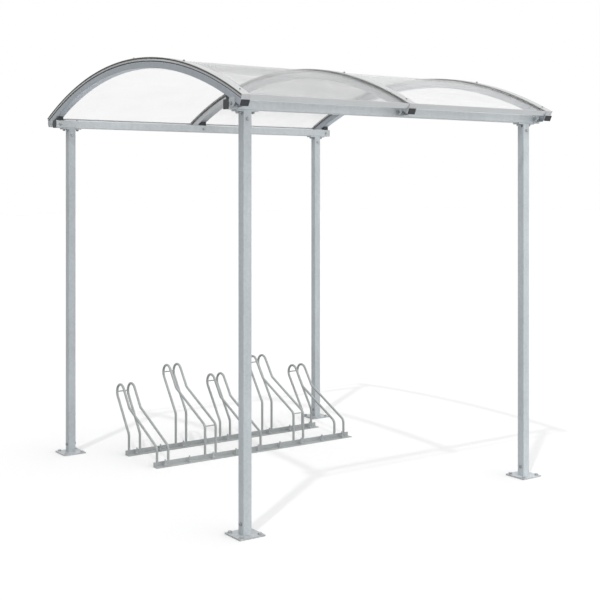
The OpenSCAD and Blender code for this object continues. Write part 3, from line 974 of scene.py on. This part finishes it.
class SHELTER_OT_rack_bolts(bpy.types.Operator):
    """Sets ground anchors with nuts on the feet of both rails"""

    bl_idname = "shelter.rack_bolts"
    bl_label = "Bolt the rack"

    def execute(self, context):
        sizes = context.scene.shelter_fasteners
        master = nut_on_stud(sizes.anchor_d, sizes.rail_anchor_rise)
        reach = len(HOLDERS) - 1
        for rail in SIDES:
            low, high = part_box(f"rack_{rail}_rail")
            x, y = (low.x + high.x) / 2, (low.y + high.y - sizes.rail_t) / 2
            places = []
            for i in range(-reach, reach + 1):
                at = (x + i * sizes.holder_pitch / 2, y, sizes.rail_t)
                places.append(aim(at, spin=0.6 * i))
            piece = copies(master, f"rail_anchors_{rail}", places)
            ready(piece, finish_named("Bolt zinc"))
        drop(master)
        return {"FINISHED"}


class SHELTER_OT_rack_welds(bpy.types.Operator):
    """Lays weld beads where the bent bars stand against the rails"""

    bl_idname = "shelter.rack_welds"
    bl_label = "Weld the rack"

    def execute(self, context):
        sizes = context.scene.shelter_fasteners
        bead = sizes.weld_r
        aside, proud, sunk = 0.36 * sizes.bar_d, 0.0012, 0.3 * bead
        widen = Matrix.Scale(2.2, 4, (1, 0, 0))
        for i, holder in enumerate(HOLDERS):
            low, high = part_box(holder)
            master = weld_bead(bead, FIRST_SEED + i)
            places = []
            for x in (low.x + sizes.bar_d / 2, high.x - sizes.bar_d / 2):
                for rail in SIDES:
                    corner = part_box(f"rack_{rail}_rail")[1]
                    mid_z = (corner.z + low.z) / 2
                    stretch = Matrix.Scale((corner.z - low.z) / (2 * bead), 4, UP)
                    for side in (-1, 1):
                        at = (x + side * aside, corner.y + proud, mid_z)
                        places.append(Matrix.Translation(at) @ stretch)
                    places.append(aim((x, corner.y, corner.z - sunk)) @ widen)
            piece = copies(master, f"bar_welds_{i + 1}", places)
            ready(piece, finish_named("Rack zinc"))
            drop(master)
        return {"FINISHED"}


class SHELTER_OT_stage(bpy.types.Operator):
    """Sets the floor, the studio light and the camera"""

    bl_idname = "shelter.stage"
    bl_label = "Set the stage"

    def execute(self, context):
        scene = context.scene
        stage = scene.shelter_stage
        scene.view_settings.view_transform = "Standard"
        self.lay_floor(stage)
        self.light(scene, stage)
        camera = bpy.data.objects.new("Camera", bpy.data.cameras.new("Camera"))
        scene.collection.objects.link(camera)
        camera.location = stage.camera_at
        camera.rotation_euler = (math.pi / 2, 0, stage.heading)
        camera.data.lens = stage.lens
        camera.data.sensor_width = SENSOR_WIDTH
        camera.data.shift_y = stage.lens_drop
        camera.data.clip_end = FAR
        scene.camera = camera
        return {"FINISHED"}

    def lay_floor(self, stage):
        """Pale floor that keeps the shadows."""
        let_go()
        bpy.ops.mesh.primitive_plane_add(size=2 * stage.floor_half, location=(0, 0, 0))
        floor = bpy.context.object
        floor.name = "Floor"
        made = bpy.data.materials.new("White floor")
        made.use_nodes = True
        tree = made.node_tree
        tree.nodes.clear()
        seen = self.seen(tree)
        matt = node(tree, "ShaderNodeBsdfDiffuse", None, None,
                    {"Color": spread(tree, seen, stage.floor_bounce, stage.floor_tone)})
        glow = node(tree, "ShaderNodeEmission", None, None,
                    {"Strength": math_node(tree, "MULTIPLY", seen, stage.floor_glow)})
        both = node(tree, "ShaderNodeAddShader", None, None,
                    {0: matt.outputs[0], 1: glow.outputs[0]})
        node(tree, "ShaderNodeOutputMaterial", None, None, {0: both.outputs[0]})
        floor.data.materials.append(made)

    def seen(self, tree):
        """1 for rays that show the background: from the camera, mirrored or through glass."""
        path = node(tree, "ShaderNodeLightPath").outputs
        both = math_node(tree, "MAXIMUM", path["Is Camera Ray"], path["Is Transmission Ray"])
        return math_node(tree, "MAXIMUM", both, path["Is Glossy Ray"])

    def light(self, scene, stage):
        """Soft sun, and a studio that is brighter on one side."""
        sun = bpy.data.objects.new("Sun", bpy.data.lights.new("Sun", "SUN"))
        scene.collection.objects.link(sun)
        sun.data.energy = stage.sun_power
        sun.data.angle = stage.sun_size
        sun.rotation_euler = Vector(stage.sun_way).to_track_quat("-Z", "Y").to_euler()
        world = bpy.data.worlds.new("Studio")
        scene.world = world
        world.use_nodes = True
        tree = world.node_tree
        tree.nodes.clear()
        way = tree.nodes.new("ShaderNodeTexCoord")
        facing = node(tree, "ShaderNodeVectorMath", {"operation": "DOT_PRODUCT"},
                      {1: Vector(stage.key_way).normalized()},
                      {0: way.outputs["Generated"]}).outputs["Value"]
        sky = spread(tree, facing, stage.sky_low, stage.sky_high, -1.0, 1.0)
        power = node(tree, "ShaderNodeMix", {"data_type": "FLOAT"}, {3: 1.0},
                     {0: self.seen(tree), 2: sky}).outputs[0]
        back = node(tree, "ShaderNodeBackground", None,
                    {"Color": (1, 1, 1, 1)}, {"Strength": power})
        node(tree, "ShaderNodeOutputWorld", None, None, {0: back.outputs[0]})


class VIEW3D_PT_shelter(bpy.types.Panel):
    """Settings and steps of the shelter"""

    bl_label = "Bike shelter"
    bl_space_type = "VIEW_3D"
    bl_region_type = "UI"
    bl_category = "Shelter"

    def draw(self, context):
        for group, cls in SETTINGS.items():
            box = self.layout.box()
            box.label(text=cls.__doc__)
            settings = getattr(context.scene, group)
            for key in cls.__annotations__:
                box.prop(settings, key)
        column = self.layout.column()
        for step in STEPS:
            column.operator(step.bl_idname)


SETTINGS = {
    "shelter_finishes": ShelterFinishes,
    "shelter_fasteners": ShelterFasteners,
    "shelter_stage": ShelterStage,
}
STEPS = (
    SHELTER_OT_frame_finish, SHELTER_OT_cap_finish, SHELTER_OT_roof_finish, SHELTER_OT_rack_finish,
    SHELTER_OT_foot_anchors, SHELTER_OT_post_bolts, SHELTER_OT_beam_bolts, SHELTER_OT_rib_bolts,
    SHELTER_OT_strip_screws, SHELTER_OT_rack_bolts, SHELTER_OT_rack_welds, SHELTER_OT_stage,
)
CLASSES = (*SETTINGS.values(), *STEPS, VIEW3D_PT_shelter)


def register():
    for cls in CLASSES:
        bpy.utils.register_class(cls)
    for name, cls in SETTINGS.items():
        setattr(bpy.types.Scene, name, PointerProperty(type=cls))


def unregister():
    for name in SETTINGS:
        delattr(bpy.types.Scene, name)
    for cls in reversed(CLASSES):
        bpy.utils.unregister_class(cls)


def main():
    register()
    for step in STEPS:
        group, call = step.bl_idname.split(".")
        getattr(getattr(bpy.ops, group), call)()
    let_go()


if __name__ == "__main__":
    main()
